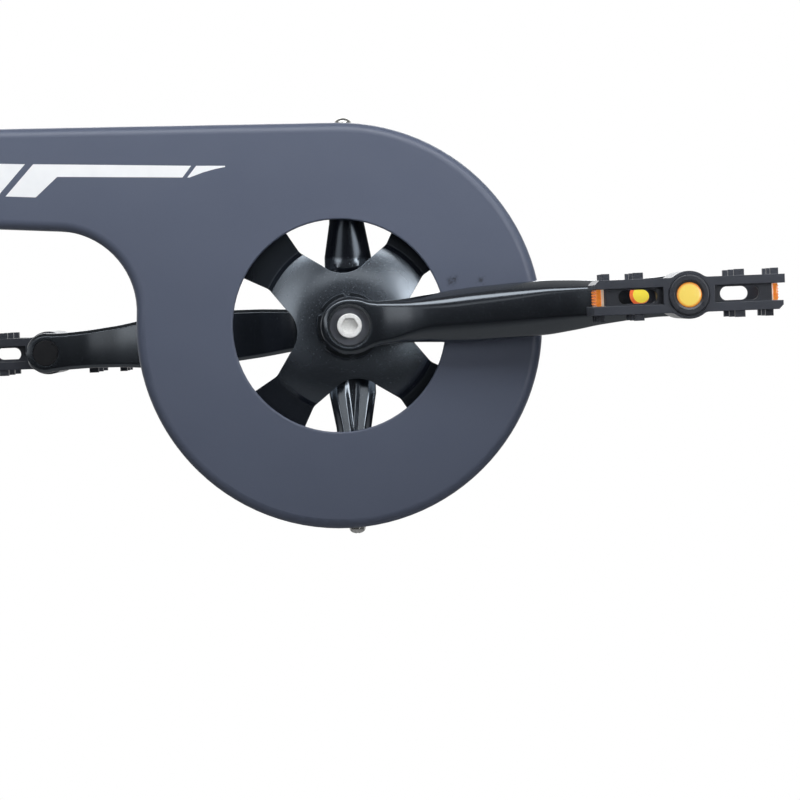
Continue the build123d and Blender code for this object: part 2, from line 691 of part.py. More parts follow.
def pedal_reflector(x_side):
    height = PEDAL_HEIGHT - 2 * PLATE_THICK - 2 * SEAT_GAP
    middle = (REFLECTOR_OUTER + REFLECTOR_INNER) / 2
    block = Pos(x_side * middle, 0) * Rectangle(REFLECTOR_DEPTH, height)
    return across(block, PEDAL_INNER + REFLECTOR_END, PEDAL_OUTER - REFLECTOR_END)


def opposite(shape):
    """The left crank's piece that answers a right one: mirrored, and half a turn on."""
    return turned(to_left(shape), 180)


def build_nodes():
    nodes = {
        "bb_sleeve": bb_sleeve(),
        "bb_cup_right": bb_cup(CUP_SEAT),
        "bb_cup_left": to_left(bb_cup(SHELL_FACE)),
        "bb_spindle": bb_spindle(),
        "guard_bracket": guard_bracket(),
        "guard_cover": guard_cover(),
        "guard_screw_top": guard_screw(False),
        "guard_screw_bottom": guard_screw(True),
        "chainwheel": chainwheel(),
        "crank_arm_right": turned(crank_arm(True), CRANK_ANGLE),
        "crank_arm_left": opposite(turned(crank_arm(False), CRANK_ANGLE)),
    }
    crank_pieces = {"crank_bolt": crank_bolt(), "crank_washer": crank_washer()}
    pedal_pieces = {
        "pedal_axle": pedal_axle(),
        "pedal_body": pedal_body(),
        "pedal_cap": pedal_cap(),
        "pedal_disc": pedal_disc(),
        "pedal_reflector_front": pedal_reflector(1),
        "pedal_reflector_rear": pedal_reflector(-1),
    }
    for name, shape in pedal_pieces.items():
        crank_pieces[name] = on_crank(shape)
    for name, shape in crank_pieces.items():
        nodes[name + "_right"] = shape
        nodes[name + "_left"] = opposite(shape)
    return nodes


def main():
    os.makedirs("parts", exist_ok=True)
    for name, shape in build_nodes().items():
        export_step(shape, f"parts/{name}.step")


main()
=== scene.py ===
"""Looks of the bicycle crankset: forged cranks, pressed bracket, threads, stripes and light."""

import json
from math import acos, cos, exp, hypot, pi, radians, sin, sqrt, tan

import bmesh
import bpy
import numpy as np
from mathutils import Matrix, Vector


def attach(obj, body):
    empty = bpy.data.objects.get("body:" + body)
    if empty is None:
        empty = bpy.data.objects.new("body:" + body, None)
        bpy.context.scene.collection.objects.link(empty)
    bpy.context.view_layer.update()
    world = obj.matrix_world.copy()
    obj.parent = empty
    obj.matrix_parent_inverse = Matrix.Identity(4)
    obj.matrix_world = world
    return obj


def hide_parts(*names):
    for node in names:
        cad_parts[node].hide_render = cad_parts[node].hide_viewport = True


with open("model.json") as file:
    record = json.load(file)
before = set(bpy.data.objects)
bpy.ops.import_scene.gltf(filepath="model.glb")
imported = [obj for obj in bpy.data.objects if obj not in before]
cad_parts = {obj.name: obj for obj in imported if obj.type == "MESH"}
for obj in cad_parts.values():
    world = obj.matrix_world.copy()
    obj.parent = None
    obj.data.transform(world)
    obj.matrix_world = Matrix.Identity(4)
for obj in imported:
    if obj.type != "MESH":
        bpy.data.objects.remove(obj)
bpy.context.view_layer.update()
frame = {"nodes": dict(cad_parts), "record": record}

MM = 0.001

# angles in degrees, anticlockwise as seen from the right
CRANK_ANGLE = 5.35
PEDAL_TILT = 2.2
BRACKET_TILT = 2.1

# lengths in millimetres
CRANK_LENGTH = 170.0
BOSS_RADIUS = 15.0
EYE_RADIUS = 11.0

# places across the bicycle in millimetres, measured out to the right from the middle plane
SHELL_FACE = 34.0
BOSS_INNER = 45.0
HUB_FRONT = 56.9
GUARD_FACE = 63.0
EXTRACTOR_FLOOR = 67.4
BOSS_OUTER = 76.0
EYE_OUTER = 93.0

# each side's name, and whether its pieces are the right ones turned through the origin
SIDES = (("right", False), ("left", True))


# Curves

def smoothstep(low, high, value):
    """0 below low, 1 above high, and an even curve between."""
    share = min(1.0, max(0.0, (value - low) / (high - low)))
    return share * share * (3 - 2 * share)


def quarter(share):
    """Height of a quarter circle at a share of its run, from 0 to 1."""
    share = min(1.0, max(0.0, share))
    return sqrt(1 - (1 - share) ** 2)


def chord(radius, offset):
    """Half the width of a disc at an offset from its middle."""
    return sqrt(max(0.0, radius ** 2 - offset ** 2))


def around(steps):
    """Even angles once around."""
    return [2 * pi * i / steps for i in range(steps)]


def window(ease, reach, count):
    """Offsets and weights that smooth a curve over a distance."""
    share = np.linspace(-reach, reach, count)
    weight = np.exp(-2 * share ** 2)
    return share * ease, weight / weight.sum()


# Mesh helpers, in millimetres until the mesh is made

SHARP = 32.0  # degrees past which an edge is sharp
MERGE = 1e-7  # metres under which points are joined
TINY = 1e-6
CORNER_ROOM = 0.48  # share of a side that one rounded corner may take
STRAIGHT = pi / 2 - 0.01  # half angle past which a corner isn't rounded


def turn(angle):
    """Anticlockwise about the crank axis, as seen from the right."""
    return Matrix.Rotation(-radians(angle), 4, "Y")


class Shell:
    """Points and faces of one piece, gathered from several closed shells."""

    def __init__(self):
        self.points = []
        self.faces = []

    def add(self, points, faces, place=None):
        start = len(self.points)
        place = place or Matrix.Identity(4)
        self.points += [place @ Vector(p) for p in points]
        self.faces += [tuple(start + i for i in face) for face in faces]
        return self

    def mesh(self, name, sharp=SHARP, inverted=False):
        """The finished mesh, turned through the origin if it is inverted."""
        scale = -MM if inverted else MM
        mesh = bpy.data.meshes.new(name)
        mesh.from_pydata([p * scale for p in self.points], [], self.faces)
        work = bmesh.new()
        work.from_mesh(mesh)
        bmesh.ops.remove_doubles(work, verts=work.verts, dist=MERGE)
        bmesh.ops.recalc_face_normals(work, faces=work.faces)
        work.to_mesh(mesh)
        work.free()
        shade(mesh, sharp)
        return mesh


def shade(mesh, sharp):
    """Smooth faces, with sharp edges past an angle."""
    for face in mesh.polygons:
        face.use_smooth = True
    mesh.set_sharp_from_angle(angle=radians(sharp))


def loft(rings):
    """A closed skin through rings of as many points each."""
    count = len(rings[0])
    points = [p for ring in rings for p in ring]
    faces = []
    for row in range(len(rings) - 1):
        a = row * count
        for i in range(count):
            j = (i + 1) % count
            faces.append((a + i, a + j, a + count + j, a + count + i))
    last = (len(rings) - 1) * count
    faces.append(tuple(range(count - 1, -1, -1)))
    faces.append(tuple(range(last, last + count)))
    return points, faces


def lathe(profile, steps):
    """A ring or plug turned about the Y axis from a closed profile of (radius, out) points."""
    points, rows = [], []
    for radius, out in profile:
        # a place on the axis is one point, and any other a ring of them
        rows.append([len(points) + (i if radius else 0) for i in range(steps)])
        points += [(radius * cos(a), -out, radius * sin(a)) for a in around(steps if radius else 1)]
    faces = []
    for row, following in zip(rows, rows[1:] + rows[:1]):
        for i in range(steps):
            j = (i + 1) % steps
            corners = tuple(dict.fromkeys((row[i], row[j], following[j], following[i])))
            if len(corners) > 2:
                faces.append(corners)
    return points, faces


def dome(radius, foot, rise, start, steps):
    """The profile of a dome, from an angle above its foot to its top on the axis."""
    angles = np.linspace(start, pi / 2, steps)[:-1]
    return [(radius * cos(a), foot + rise * sin(a)) for a in angles] + [(0.0, foot + rise)]


def thread(radius, pitch, start, stop, rise, sink, root, crest, steps):
    """A ridge wound about the Y axis as one closed strip, fading over a turn at its ends.

    It stands out from a rod, or in from a bore's wall if rise and sink are below zero. Root and
    crest are half widths in pitches.
    """
    total = int((stop - start) / pitch * steps)
    foot = radius - sink
    rings = []
    for i in range(total + 1):
        a = 2 * pi * i / steps
        out = start + pitch * i / steps
        top = radius + rise * min(1.0, i / steps, (total - i) / steps)
        section = ((foot, -root), (top, -crest), (top, crest), (foot, root))
        rings.append([(r * cos(a), -(out + shift * pitch), r * sin(a)) for r, shift in section])
    return loft(rings)


def prism(outline, back, front, edge=0.0):
    """A side-view outline extruded across the bicycle, with its front edge bevelled."""
    rings = [[(x, -back, z) for x, z in outline]]
    if edge:
        rings.append([(x, -(front - edge), z) for x, z in outline])
        mid_x, mid_z = (sum(p[i] for p in outline) / len(outline) for i in (0, 1))
        share = 1 - edge / max(hypot(x - mid_x, z - mid_z) for x, z in outline)
        outline = [(mid_x + (x - mid_x) * share, mid_z + (z - mid_z) * share) for x, z in outline]
    rings.append([(x, -front, z) for x, z in outline])
    return loft(rings)


def rounded(corners, steps=5):
    """A closed polygon of (x, y, radius) corners with its corners rounded."""
    points = []
    for i, (x, y, radius) in enumerate(corners):
        here = Vector((x, y))
        before = Vector(corners[i - 1][:2]) - here
        after = Vector(corners[(i + 1) % len(corners)][:2]) - here
        room = CORNER_ROOM * min(before.length, after.length)
        half = pi / 2
        if min(room, radius) >= TINY:
            before.normalize()
            after.normalize()
            half = acos(max(-1.0, min(1.0, before.dot(after)))) / 2
        if half > STRAIGHT:
            points += [here] * steps
            continue
        reach = min(room, radius / tan(half))
        start = here + before * reach
        stop = here + after * reach
        for t in (k / (steps - 1) for k in range(steps)):
            points.append((1 - t) ** 2 * start + 2 * t * (1 - t) * here + t * t * stop)
    return [(p.x, p.y) for p in points]


def block(low, high, edge):
    """A box with bevelled edges, from its corners."""
    work = bmesh.new()
    size = [b - a for a, b in zip(low, high)]
    middle = [(a + b) / 2 for a, b in zip(low, high)]
    place = Matrix.Translation(middle) @ Matrix.Diagonal((*size, 1.0))
    bmesh.ops.create_cube(work, size=1.0, matrix=place)
    bmesh.ops.bevel(
        work, geom=work.edges[:], offset=edge, segments=3, affect="EDGES", profile=0.5,
    )
    points = [v.co.copy() for v in work.verts]
    faces = [tuple(v.index for v in f.verts) for f in work.faces]
    work.free()
    return points, faces


def cut(mesh, cutter, sharp):
    """The mesh with the cutter's space taken out."""
    body = bpy.data.objects.new("cut_body", mesh)
    tool = bpy.data.objects.new("cut_tool", cutter)
    for item in (body, tool):
        bpy.context.scene.collection.objects.link(item)
    step = body.modifiers.new("cut", "BOOLEAN")
    step.operation = "DIFFERENCE"
    step.solver = "EXACT"
    step.object = tool
    bpy.context.view_layer.update()
    graph = bpy.context.evaluated_depsgraph_get()
    done = bpy.data.meshes.new_from_object(body.evaluated_get(graph))
    for item in (body, tool):
        bpy.data.objects.remove(item)
    shade(done, sharp)
    return done


def piece(name, mesh, look, body, slot, *nodes):
    """A finished mesh as a piece that rides on a body and may stand for CAD nodes."""
    mesh.materials.clear()
    mesh.materials.append(look)
    made = bpy.data.objects.new(name, mesh)
    bpy.context.scene.collection.objects.link(made)
    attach(made, body)
    if nodes:
        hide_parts(*nodes)


# Materials, with lengths in metres

NOISE_SPAN = (0.3, 0.7)  # where nearly all of a noise lies
BEVEL_SAMPLES = 6


class Nodes:
    """Short calls for the nodes of one tree."""

    def __init__(self, tree):
        self.tree = tree
        tree.nodes.clear()

    def node(self, kind, **values):
        made = self.tree.nodes.new(kind)
        for key, value in values.items():
            setattr(made, key, value)
        return made

    def feed(self, socket, value):
        """An input takes another node's output, a colour or a number."""
        if hasattr(value, "is_linked"):
            self.tree.links.new(value, socket)
        elif socket.type == "RGBA":
            socket.default_value = (*value, 1.0)
        else:
            socket.default_value = value

    def ranged(self, value, span, to_span=(0.0, 1.0)):
        """A value mapped from one span to another, and held inside it."""
        made = self.node("ShaderNodeMapRange")
        names = ("From Min", "From Max", "To Min", "To Max")
        for name, number in zip(names, (*span, *to_span)):
            made.inputs[name].default_value = number
        self.feed(made.inputs["Value"], value)
        return made.outputs["Result"]

    def math(self, operation, first, second):
        made = self.node("ShaderNodeMath", operation=operation)
        for socket, value in zip(made.inputs, (first, second)):
            self.feed(socket, value)
        return made.outputs["Value"]


class Look(Nodes):
    """A procedural material around one Principled shader."""

    def __init__(self, name):
        self.material = bpy.data.materials.new(name)
        self.material.use_nodes = True
        super().__init__(self.material.node_tree)
        self.shader = self.node("ShaderNodeBsdfPrincipled")
        output = self.node("ShaderNodeOutputMaterial")
        self.feed(output.inputs["Surface"], self.shader.outputs["BSDF"])
        self.place = self.node("ShaderNodeTexCoord").outputs["Object"]

    def set(self, **values):
        """The shader's inputs by name."""
        for key, value in values.items():
            self.feed(self.shader.inputs[key.replace("_", " ")], value)

    def scaled(self, axes):
        """The place on the object with its axes scaled."""
        made = self.node("ShaderNodeMapping")
        made.inputs["Scale"].default_value = axes
        self.feed(made.inputs["Vector"], self.place)
        return made.outputs["Vector"]

    def distance(self, point, axes=(1.0, 1.0, 1.0)):
        """How far the surface lies from a point of the object, along all axes or some."""
        made = self.node("ShaderNodeVectorMath", operation="DISTANCE")
        self.feed(made.inputs[0], self.scaled(axes))
        made.inputs[1].default_value = [p * a for p, a in zip(point, axes)]
        return made.outputs["Value"]

    def noise(self, scale, detail, stretch=None):
        made = self.node("ShaderNodeTexNoise")
        made.inputs["Scale"].default_value = scale
        made.inputs["Detail"].default_value = detail
        self.feed(made.inputs["Vector"], self.scaled(stretch) if stretch else self.place)
        return made.outputs["Fac"]

    def spread(self, noise, low=0.0, high=1.0):
        """A noise stretched over a span."""
        return self.ranged(noise, NOISE_SPAN, (low, high))

    def mixed(self, share, first, second):
        """A colour between two."""
        made = self.node("ShaderNodeMix", data_type="RGBA")
        self.feed(made.inputs["Factor"], share)
        sockets = [socket for socket in made.inputs if socket.type == "RGBA"]
        for socket, colour in zip(sockets, (first, second)):
            self.feed(socket, colour)
        return [socket for socket in made.outputs if socket.type == "RGBA"][0]

    def clouded(self, noise, base, change):
        """A colour that drifts with a noise to a lighter or darker one."""
        return self.mixed(self.spread(noise), base, [c * change for c in base])

    def surface(self, height, depth, strength, edge=0.0):
        """Fine relief, and edges that look rounded by a small radius."""
        bump = self.node("ShaderNodeBump")
        bump.inputs["Distance"].default_value = depth
        bump.inputs["Strength"].default_value = strength
        self.feed(bump.inputs["Height"], height)
        if edge:
            bevel = self.node("ShaderNodeBevel", samples=BEVEL_SAMPLES)
            bevel.inputs["Radius"].default_value = edge
            self.feed(bump.inputs["Normal"], bevel.outputs["Normal"])
        self.set(Normal=bump.outputs["Normal"])


# rubbed places on the guard's face beside the crank: X, Z and reach in millimetres
RUBBED = ((54.6, 24.6, 2.8), (52.8, 22.8, 3.4), (69.0, 24.6, 2.6), (68.2, 22.6, 3.2))


def guard_plastic(name, base, pale, dark, worn):
    """Satin plastic with a fine grain and a few rubbed places."""
    look = Look(name)
    colour = look.mixed(look.spread(look.noise(scale=9.0, detail=3.0)), base, pale)
    grain = look.noise(scale=2600.0, detail=3.0)
    colour = look.mixed(look.ranged(grain, (0.35, 0.65), (0.0, 0.22)), colour, dark)
    ragged = look.ranged(look.noise(scale=420.0, detail=4.0), (0.42, 0.62))
    for x, z, reach in RUBBED:
        away = look.distance((x * MM, -GUARD_FACE * MM, z * MM))
        spot = look.ranged(away, (0.0, reach * MM), (1.0, 0.0))
        colour = look.mixed(look.math("MULTIPLY", spot, ragged), colour, worn)
    look.set(
        Base_Color=colour,
        Roughness=look.spread(look.noise(scale=60.0, detail=4.0), 0.34, 0.44),
        Specular_IOR_Level=0.42,
    )
    look.surface(grain, depth=0.00004, strength=0.35)
    return look.material


PAINT_TINT = (0.74, 0.86, 1.0)
PAINT_COAT = 0.9
# gloss and coat past a shade zone: painted shade
DULL_GLOSS = 0.25
DULL_COAT = 0.1
ZONE_EDGE = 0.0015
ZONE_IOR = 1.9


def gloss_black(name, base, rough, edge, gloss, coat, shade_zone=None):
    """Black paint, duller past a zone of painted shade if one is given as centre, axes and reach.
    """
    look = Look(name)
    cloud = look.noise(scale=35.0, detail=3.0)
    specks = look.ranged(look.noise(scale=1400.0, detail=2.0), (0.7, 0.78), (0.0, 0.3))
    look.set(
        Base_Color=look.clouded(cloud, base, change=1.35),
        Roughness=look.math("ADD", look.spread(cloud, rough, rough + 0.05), specks),
        Specular_IOR_Level=gloss, Specular_Tint=PAINT_TINT,
        Coat_Weight=PAINT_COAT, Coat_Roughness=coat,
    )
    look.surface(look.noise(scale=240.0, detail=2.0), depth=0.00003, strength=0.25, edge=edge)
    # painted shade: past the zone the reflection is dulled to stand for a shadow
    if shade_zone:
        centre, axes, reach = shade_zone
        away = look.distance(centre, axes)
        rim = (reach, reach + ZONE_EDGE)
        look.set(
            Specular_IOR_Level=look.ranged(away, rim, (gloss, DULL_GLOSS)),
            Coat_Weight=look.ranged(away, rim, (PAINT_COAT, DULL_COAT)),
            IOR=ZONE_IOR,
        )
    return look.material


def moulded(name, base, rough, grain, edge):
    """Plastic or coated metal with a fine even grain."""
    look = Look(name)
    look.set(
        Base_Color=look.clouded(look.noise(scale=40.0, detail=3.0), base, change=1.25),
        Roughness=look.spread(look.noise(scale=150.0, detail=4.0), rough - 0.05, rough + 0.08),
        Specular_IOR_Level=0.5,
    )
    look.surface(look.noise(scale=grain, detail=3.0), depth=0.00005, strength=0.35, edge=edge)
    return look.material


def bright_metal(name, base, rough, stretch=None, metallic=1.0):
    """Bare metal with fine marks, which may run along an axis."""
    look = Look(name)
    marks = look.noise(scale=900.0, detail=4.0, stretch=stretch)
    look.set(
        Base_Color=look.clouded(marks, base, change=0.86),
        Roughness=look.spread(marks, rough - 0.04, rough + 0.08),
        Metallic=metallic,
    )
    look.surface(marks, depth=0.00002, strength=0.3, edge=0.0003)
    return look.material


def amber(name, base, deep, painted_glow):
    """Clear coloured plastic with small cells in it and a faint glow of painted light."""
    look = Look(name)
    cells = look.node("ShaderNodeTexVoronoi", feature="F1")
    cells.inputs["Scale"].default_value = 620.0
    look.feed(cells.inputs["Vector"], look.place)
    height = cells.outputs["Distance"]
    share = look.ranged(height, (0.1, 0.7))
    look.set(
        Base_Color=look.mixed(share, base, deep),
        Roughness=look.ranged(share, (0.0, 1.0), (0.12, 0.24)),
        Coat_Weight=0.8, Coat_Roughness=0.05,
        Subsurface_Weight=0.25, Subsurface_Scale=0.003,
        # painted light: the plastic glows faintly to stand for light gathered through it
        Emission_Color=base, Emission_Strength=painted_glow,
    )
    look.surface(height, depth=0.0001, strength=0.3)
    return look.material


def vinyl(name, base, pale):
    """Printed film."""
    look = Look(name)
    look.set(
        Base_Color=look.mixed(look.spread(look.noise(scale=70.0, detail=3.0)), base, pale),
        Roughness=look.spread(look.noise(scale=400.0, detail=3.0), 0.3, 0.42),
    )
    look.surface(look.noise(scale=1500.0, detail=2.0), depth=0.00001, strength=0.3)
    return look.material


def ringed(name, middle, core, rim, core_radius, rim_radius, painted_glow):
    """A bright printed disc around a point, pale in the middle with a darker rim; its glow is
    painted light.
    """
    look = Look(name)
    share = look.ranged(look.distance(middle), (core_radius, rim_radius))
    fleck = look.ranged(look.noise(scale=500.0, detail=3.0), (0.35, 0.65), (0.85, 1.0))
    ink = look.mixed(look.math("MULTIPLY", share, fleck), core, rim)
    look.set(
        Base_Color=ink,
        Roughness=look.spread(look.noise(scale=300.0, detail=3.0), 0.18, 0.3),
        Coat_Weight=0.7, Coat_Roughness=0.06,
        # painted light: the ink glows as if more brightly lit
        Emission_Color=ink, Emission_Strength=painted_glow,
    )
    look.surface(look.noise(scale=900.0, detail=2.0), depth=0.00002, strength=0.3)
    return look.material


# the look of each material slot of the record
LOOK_TABLE = {
    "steel": (bright_metal, dict(base=(0.56, 0.56, 0.57), rough=0.3, stretch=(1.0, 12.0, 1.0))),
    "bracket_paint": (gloss_black, dict(
        base=(0.006, 0.007, 0.011), rough=0.18, edge=0.0004, gloss=0.9, coat=0.06,
        # painted shade: the upper arm is dulled where the guard's window rim shades it
        shade_zone=((0.0, 0.0, -0.1), (0.0, 0.0, 1.0), 0.1345),
    )),
    "guard_plastic": (guard_plastic, dict(
        base=(0.093, 0.109, 0.158), pale=(0.103, 0.121, 0.174),
        dark=(0.074, 0.088, 0.126), worn=(0.030, 0.034, 0.045),
    )),
    "screw_zinc": (bright_metal, dict(base=(0.72, 0.71, 0.68), rough=0.22)),
    "wheel_paint": (gloss_black, dict(
        base=(0.005, 0.006, 0.009), rough=0.24, edge=0.0004, gloss=1.0, coat=0.16,
        # painted shade: the outer ring is dulled where the guard shades it
        shade_zone=((0.0, 0.0, 0.0), (1.0, 0.0, 1.0), 0.0462),
    )),
    "crank_paint": (gloss_black, dict(
        base=(0.005, 0.006, 0.008), rough=0.2, edge=0.0005, gloss=1.0, coat=0.15,
    )),
    # painted reflection: with metallic 0.3 the pale base shows as matte white, standing for the
    # chrome's glint
    "bolt_chrome": (bright_metal, dict(base=(0.95, 0.95, 0.94), rough=0.5, metallic=0.3)),
    "washer_black": (moulded, dict(
        base=(0.165, 0.176, 0.206), rough=0.34, grain=900.0, edge=0.0003,
    )),
    "axle_black": (moulded, dict(
        base=(0.016, 0.017, 0.020), rough=0.3, grain=700.0, edge=0.0004,
    )),
    "pedal_plastic": (moulded, dict(
        base=(0.043, 0.048, 0.063), rough=0.38, grain=1600.0, edge=0.0005,
    )),
    "cap_black": (moulded, dict(
        base=(0.041, 0.044, 0.054), rough=0.28, grain=900.0, edge=0.0004,
    )),
    # painted light: the amber plastics glow a little, as if lit through
    "disc_amber": (amber, dict(base=(0.95, 0.62, 0.12), deep=(0.92, 0.5, 0.07), painted_glow=0.15)),
    "reflector_amber": (amber, dict(
        base=(0.95, 0.33, 0.05), deep=(0.85, 0.17, 0.015), painted_glow=0.4,
    )),
}
LOOKS = {slot: make(slot, **values) for slot, (make, values) in LOOK_TABLE.items()}
STRIPE = vinyl("stripe_vinyl", base=(0.86, 0.87, 0.89), pale=(0.93, 0.94, 0.95))
# painted light: the pale backing glows as if lit through the amber
BACKING = amber("reflector_backing", base=(0.95, 0.80, 0.62), deep=(0.93, 0.70, 0.48), painted_glow=0.3)

for entry in frame["record"]["subparts"]:
    node = frame["nodes"][entry["node"]]
    node.data.materials.clear()
    node.data.materials.append(LOOKS[entry["material_slot"]])


# Cranks, made along +X on the right side

# along, half width, upper bevel, lower bevel, bevel depth, back, front, corner radius
ARM_TABLE = np.array((
    (-15.0, 11.6, 1.8, 1.8, 1.8, 58.0, 76.0, 1.6),
    (10.0, 11.6, 1.8, 1.8, 1.8, 58.0, 76.0, 1.6),
    (18.0, 11.5, 2.2, 1.6, 2.6, 59.0, 76.8, 3.0),
    (25.0, 11.3, 2.6, 2.3, 3.4, 61.6, 78.2, 4.0),
    (32.0, 11.45, 3.0, 4.5, 4.8, 64.6, 79.7, 4.0),
    (40.0, 12.3, 3.7, 6.5, 6.4, 66.8, 81.0, 7.0),
    (50.0, 13.25, 4.6, 7.3, 7.4, 68.6, 82.1, 7.8),
    (64.0, 14.1, 5.0, 7.8, 8.0, 69.5, 83.2, 7.8),
    (84.0, 14.3, 5.0, 7.9, 8.0, 71.4, 85.0, 7.0),
    (104.0, 14.2, 5.0, 8.0, 8.0, 73.5, 86.8, 4.5),
    (118.0, 12.9, 4.4, 6.6, 7.4, 75.9, 88.7, 3.0),
    (128.0, 11.6, 3.6, 5.0, 6.4, 78.0, 90.5, 2.8),
    (146.0, 10.4, 2.8, 3.4, 4.0, 79.6, 92.0, 2.2),
    (160.0, 10.2, 2.0, 2.2, 2.4, 80.0, 92.8, 1.6),
    (181.0, 10.2, 1.6, 1.6, 1.6, 80.0, 93.0, 1.4),
))
ARM_WINDOW = window(ease=4.0, reach=1.5, count=13)
ARM_STEPS = 122
ARM_SHARP = 28.0
BOSS_STEPS = 16
BOSS_EASE = 2.4
BOSS_EASE_SPAN = (1.0, 8.0)
BOSS_RIM = 2.2
EYE_STEPS = 12
EYE_EASE = 1.2
EYE_EASE_SPAN = (1.0, 7.0)
EYE_RIM = 1.6
BACK_EDGE = 1.8
BACK_CORNER = 1.0
LEAST_WIDTH = 0.02
# most of the half width that a bevel may take
FRONT_SHARE = 0.9
BACK_SHARE = 0.8

# turned profiles: radius, place out
BORE_RADIUS = 10.6
BORE_MOUTH = BORE_RADIUS + 1.1
BORE_CUT = (
    (0.0, EXTRACTOR_FLOOR - 4.0), (BORE_RADIUS, EXTRACTOR_FLOOR - 4.0),
    (BORE_RADIUS, BOSS_OUTER - 1.0), (BORE_MOUTH, BOSS_OUTER + 0.1),
    (BORE_MOUTH, BOSS_OUTER + 6.0), (0.0, BOSS_OUTER + 6.0),
)
AXLE_CUT = ((0.0, 70.0), (7.15, 70.0), (7.15, 100.0), (0.0, 100.0))
BOSS_BACK = (
    (9.2, BOSS_INNER), (13.6, BOSS_INNER), (14.6, BOSS_INNER + 0.4),
    (BOSS_RADIUS, BOSS_INNER + 1.4), (BOSS_RADIUS, 62.0), (13.0, 62.0), (9.2, 60.0),
)
WASHER_FLOOR = ((6.7, 65.2), (10.9, 65.2), (10.9, EXTRACTOR_FLOOR), (6.7, EXTRACTOR_FLOOR))
BORE_THREAD = dict(
    radius=BORE_RADIUS, pitch=1.0, start=69.4, stop=74.8,
    rise=-0.38, sink=-0.1, root=0.4, crest=0.05, steps=64,
)

COLLAR_RADIUS = 17.8
COLLAR_BACK = HUB_FRONT + 0.05
COLLAR_FRONT = HUB_FRONT + 2.7
COLLAR_EDGE = 0.6
COLLAR_STEPS = 240
NOTCHES = 6
NOTCH_RADIUS = 1.7


def arm_values(along):
    """The table's columns at a place along the arm, eased over a few millimetres."""
    offsets, weights = ARM_WINDOW
    places, *columns = ARM_TABLE.T
    return [float(np.interp(along + offsets, places, column) @ weights) for column in columns]


def face_at(along):
    """Place out of the arm's face."""
    *_, front, _ = arm_values(along)
    return front


def joined(first, second, ease):
    """The larger of two widths, eased where they cross."""
    return 0.5 * (first + second + hypot(first - second, ease))


def half_width(along, width):
    """Half the arm's width, run into the round boss and eye at its ends."""
    to_eye = CRANK_LENGTH - along
    boss = chord(BOSS_RADIUS, along)
    eye = chord(EYE_RADIUS, to_eye)
    if along <= 0:
        return boss
    if to_eye <= 0:
        return eye
    if boss > 0:
        return joined(boss, width, BOSS_EASE * smoothstep(*BOSS_EASE_SPAN, along))
    if eye > 0:
        return joined(eye, width, EYE_EASE * smoothstep(*EYE_EASE_SPAN, to_eye))
    return width


def rim_drop(distance, radius, edge):
    """How far a turned end's rounded rim has dropped at a distance from its axis."""
    return edge * (1 - quarter((radius - distance) / edge))


def arm_skin():
    """The arm from boss to eye, as rings of rounded sections."""
    places = [-BOSS_RADIUS * cos(pi / 2 * i / BOSS_STEPS) for i in range(BOSS_STEPS)]
    places += list(np.linspace(0.0, CRANK_LENGTH, ARM_STEPS))
    shares = [i / EYE_STEPS for i in range(1, EYE_STEPS + 1)]
    places += [CRANK_LENGTH + EYE_RADIUS * sin(pi / 2 * share) for share in shares]
    rings = []
    for along in places:
        width, upper, lower, depth, back, front, corner = arm_values(along)
        width = max(LEAST_WIDTH, half_width(along, width))
        high = width - min(upper, width * FRONT_SHARE)
        low = width - min(lower, width * FRONT_SHARE)
        flat = width - min(BACK_EDGE, width * BACK_SHARE)
        corners = [
            (high, front, corner), (-low, front, corner), (-width, front - depth, corner),
            (-width, back + BACK_EDGE, BACK_CORNER), (-flat, back, BACK_CORNER),
            (flat, back, BACK_CORNER), (width, back + BACK_EDGE, BACK_CORNER),
            (width, front - depth, corner),
        ]
        ring = []
        for above, out in rounded(corners):
            if along < 0:
                drop = rim_drop(hypot(along, above), BOSS_RADIUS, BOSS_RIM)
                out = min(out, BOSS_OUTER - drop)
            if along > CRANK_LENGTH:
                drop = rim_drop(hypot(along - CRANK_LENGTH, above), EYE_RADIUS, EYE_RIM)
                out = min(out, EYE_OUTER - drop)
            ring.append((along, -out, above))
        rings.append(ring)
    return loft(rings)


def collar():
    """The swaged ring that holds the chainwheel, with notches around it."""
    outline = []
    for a in around(COLLAR_STEPS):
        off = (a * NOTCHES / (2 * pi)) % 1.0 - 0.5
        off *= 2 * pi / NOTCHES * COLLAR_RADIUS
        radius = COLLAR_RADIUS - chord(NOTCH_RADIUS, off)
        outline.append((radius * cos(a), radius * sin(a)))
    return prism(outline, COLLAR_BACK, COLLAR_FRONT, COLLAR_EDGE)


def crank_mesh(name, inverted):
    """The arm with its bores, the back of its boss and, on the right, the collar."""
    tilt = turn(CRANK_ANGLE)
    skin = Shell().add(*arm_skin(), tilt)
    cutter = Shell().add(*lathe(BORE_CUT, steps=96))
    cutter.add(*lathe(AXLE_CUT, steps=64), tilt @ Matrix.Translation((CRANK_LENGTH, 0, 0)))
    whole, holes = skin.mesh(name, ARM_SHARP, inverted), cutter.mesh("holes", ARM_SHARP, inverted)
    arm = cut(whole, holes, ARM_SHARP)
    rest = Shell().add(*lathe(BOSS_BACK, steps=72)).add(*lathe(WASHER_FLOOR, steps=72))
    rest.add(*thread(**BORE_THREAD))
    if not inverted:
        rest.add(*collar(), tilt)
    parts = bmesh.new()
    parts.from_mesh(arm)
    parts.from_mesh(rest.mesh("boss_back", ARM_SHARP, inverted))
    parts.to_mesh(arm)
    parts.free()
    shade(arm, ARM_SHARP)
    return arm


for side, inverted in SIDES:
    name = f"crank_arm_{side}_forged"
    mesh = crank_mesh(name, inverted)
    piece(name, mesh, LOOKS["crank_paint"], "crank", "crank_paint", f"crank_arm_{side}")


# Guard bracket: two pressed arms on a ring

